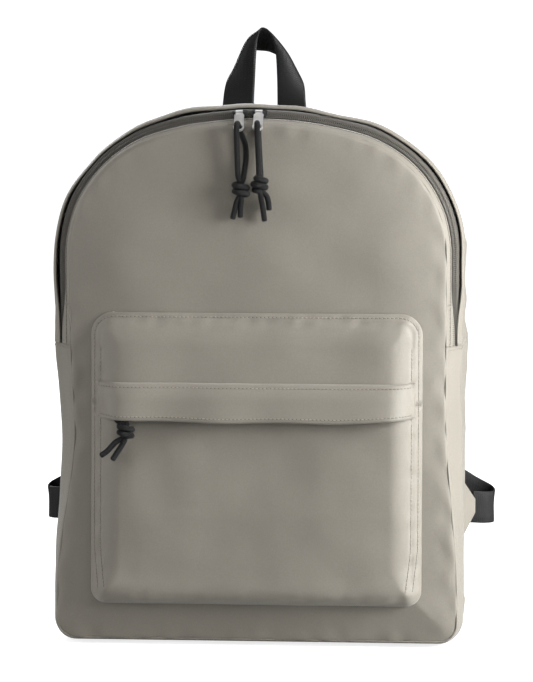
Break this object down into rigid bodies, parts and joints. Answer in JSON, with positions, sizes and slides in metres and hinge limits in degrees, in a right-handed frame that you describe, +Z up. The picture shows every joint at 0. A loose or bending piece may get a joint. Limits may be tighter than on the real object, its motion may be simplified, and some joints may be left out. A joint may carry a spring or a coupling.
{
  "type": "daypack",
  "caption": "Arched daypack with a two-slider main zip, a zipped front pocket under a placket, a webbing grab handle and padded shoulder straps with ladder locks.",
  "frame": {"origin": "Middle of the base, on the surface the pack stands on.", "axes": "+Z up along the pack's height; +X to the right of someone facing the front pocket; the front faces -Y and the shoulder straps are at +Y."},
  "size_m": [0.3448, 0.2299, 0.4541],
  "materials": {
    "canvas": "plain-weave polyester, taupe grey",
    "lining": "thin woven lining and zip tape",
    "zip_teeth": "nylon coil",
    "foam": "closed-cell foam, hidden inside its cover",
    "strap_mesh": "knitted spacer mesh",
    "webbing": "ribbed black webbing",
    "cord": "braided black cord",
    "plastic": "moulded black acetal",
    "slider_metal": "dark nickel plate",
    "pull_metal": "polished nickel plate"
  },
  "bodies": {
    "bag": {"back_panel": "canvas", "back_foam": "foam", "back_lining": "lining", "front_panel_lower": "canvas", "side_panel_left": "canvas", "side_panel_right": "canvas", "bottom_panel": "canvas", "zip_end_gussets": "canvas", "zip_gusset_rear": "canvas", "zip_tape_rear": "lining", "zip_coil_rear": "zip_teeth", "strap_yoke": "canvas", "seam_binding": "lining", "pocket_upper_panel": "canvas", "pocket_lower_panel": "canvas", "pocket_zip_tapes": "lining", "pocket_zip_coils": "zip_teeth", "strap_tab_left": "canvas", "strap_tab_right": "canvas", "handle_ends": "webbing"},
    "front_flap": {"front_panel_upper": "canvas", "zip_strip_front": "canvas", "zip_tape_front": "lining", "zip_coil_front": "zip_teeth"},
    "placket": {"pocket_placket": "canvas"},
    "slider_left": {"main_slider_left": "slider_metal"},
    "slider_right": {"main_slider_right": "slider_metal"},
    "pull_left": {"main_pull_left": "pull_metal"},
    "pull_right": {"main_pull_right": "pull_metal"},
    "cord_left": {"main_cord_left_a": "cord", "main_cord_left_b": "cord", "main_knot_left": "cord"},
    "cord_right": {"main_cord_right_a": "cord", "main_cord_right_b": "cord", "main_knot_right": "cord"},
    "slider_pocket": {"pocket_slider": "slider_metal"},
    "pull_pocket": {"pocket_pull": "pull_metal"},
    "cord_pocket": {"pocket_cord_a": "cord", "pocket_cord_b": "cord", "pocket_knot": "cord"},
    "handle": {"grab_handle": "webbing"},
    "strap_left": {"strap_face_left": "canvas", "strap_foam_left": "foam", "strap_pad_left": "strap_mesh", "strap_binding_left": "webbing", "ladder_loop_left": "webbing", "strap_webbing_left": "webbing"},
    "lock_left": {"ladder_lock_left": "plastic", "webbing_tail_left": "webbing"},
    "strap_right": {"strap_face_right": "canvas", "strap_foam_right": "foam", "strap_pad_right": "strap_mesh", "strap_binding_right": "webbing", "ladder_loop_right": "webbing", "strap_webbing_right": "webbing"},
    "lock_right": {"ladder_lock_right": "plastic", "webbing_tail_right": "webbing"}
  },
  "joints": [
    {"name": "front_flap_fold", "type": "hinge", "parent": "bag", "child": "front_flap", "pos_m": [0, -0.05578, 0.25009], "axis": [1, 0, 0], "range_deg": [0, 75]},
    {"name": "main_slider_left_travel", "type": "hinge", "parent": "front_flap", "child": "slider_left", "pos_m": [0, -0.04165, 0.11925], "axis": [0, -0.9988, 0.0489], "range_deg": [0, 11.5]},
    {"name": "main_slider_right_travel", "type": "hinge", "parent": "front_flap", "child": "slider_right", "pos_m": [0, -0.04165, 0.11925], "axis": [0, 0.9988, -0.0489], "range_deg": [0, 14.5]},
    {"name": "main_pull_left_swing", "type": "hinge", "parent": "slider_left", "child": "pull_left", "pos_m": [-0.01431, -0.03293, 0.39425], "axis": [-0.9987, -0.0025, -0.0519], "range_deg": [0, 30]},
    {"name": "main_pull_right_swing", "type": "hinge", "parent": "slider_right", "child": "pull_right", "pos_m": [0.0002, -0.03291, 0.39462], "axis": [-1, 0, 0.0007], "range_deg": [0, 30]},
    {"name": "main_cord_left_hang", "type": "hinge", "parent": "pull_left", "child": "cord_left", "pos_m": [-0.01374, -0.04571, 0.38384], "axis": [0.9987, 0.0025, 0.0519], "range_deg": [0, 30]},
    {"name": "main_cord_right_hang", "type": "hinge", "parent": "pull_right", "child": "cord_right", "pos_m": [0.00019, -0.0457, 0.3842], "axis": [1, 0, -0.0007], "range_deg": [0, 30]},
    {"name": "pocket_slider_travel", "type": "slide", "parent": "bag", "child": "slider_pocket", "axis": [1, 0, 0], "range_m": [0, 0.202]},
    {"name": "pocket_pull_swing", "type": "hinge", "parent": "slider_pocket", "child": "pull_pocket", "pos_m": [-0.098, -0.07693, 0.18204], "axis": [-1, 0, 0], "range_deg": [0, 8]},
    {"name": "pocket_cord_swing", "type": "hinge", "parent": "pull_pocket", "child": "cord_pocket", "pos_m": [-0.098, -0.07732, 0.17405], "axis": [-1, 0, 0], "range_deg": [0, 12]},
    {"name": "placket_lift", "type": "hinge", "parent": "bag", "child": "placket", "pos_m": [0, -0.07235, 0.19784], "axis": [-1, 0, 0], "range_deg": [0, 50]},
    {"name": "grab_handle_fold", "type": "hinge", "parent": "bag", "child": "handle", "pos_m": [0, 0.0624, 0.397], "axis": [-1, 0, 0], "range_deg": [-20, 75]},
    {"name": "strap_left_swing", "type": "hinge", "parent": "bag", "child": "strap_left", "pos_m": [-0.037, 0.066, 0.388], "axis": [0.3739, -0.0263, 0.9271], "range_deg": [-12, 25]},
    {"name": "strap_right_swing", "type": "hinge", "parent": "bag", "child": "strap_right", "pos_m": [0.037, 0.066, 0.388], "axis": [0.3739, 0.0263, -0.9271], "range_deg": [-12, 25]},
    {"name": "ladder_lock_left_tilt", "type": "hinge", "parent": "strap_left", "child": "lock_left", "pos_m": [-0.10576, 0.09512, 0.15777], "axis": [0.9559, -0.1984, -0.2164], "range_deg": [0, 30]},
    {"name": "ladder_lock_right_tilt", "type": "hinge", "parent": "strap_right", "child": "lock_right", "pos_m": [0.10576, 0.09512, 0.15777], "axis": [0.9559, 0.1984, 0.2164], "range_deg": [0, 30]}
  ],
  "couplings": [
    {"joint": "main_cord_left_hang", "follows": "main_pull_left_swing", "ratio": 1},
    {"joint": "main_cord_right_hang", "follows": "main_pull_right_swing", "ratio": 1}
  ]
}
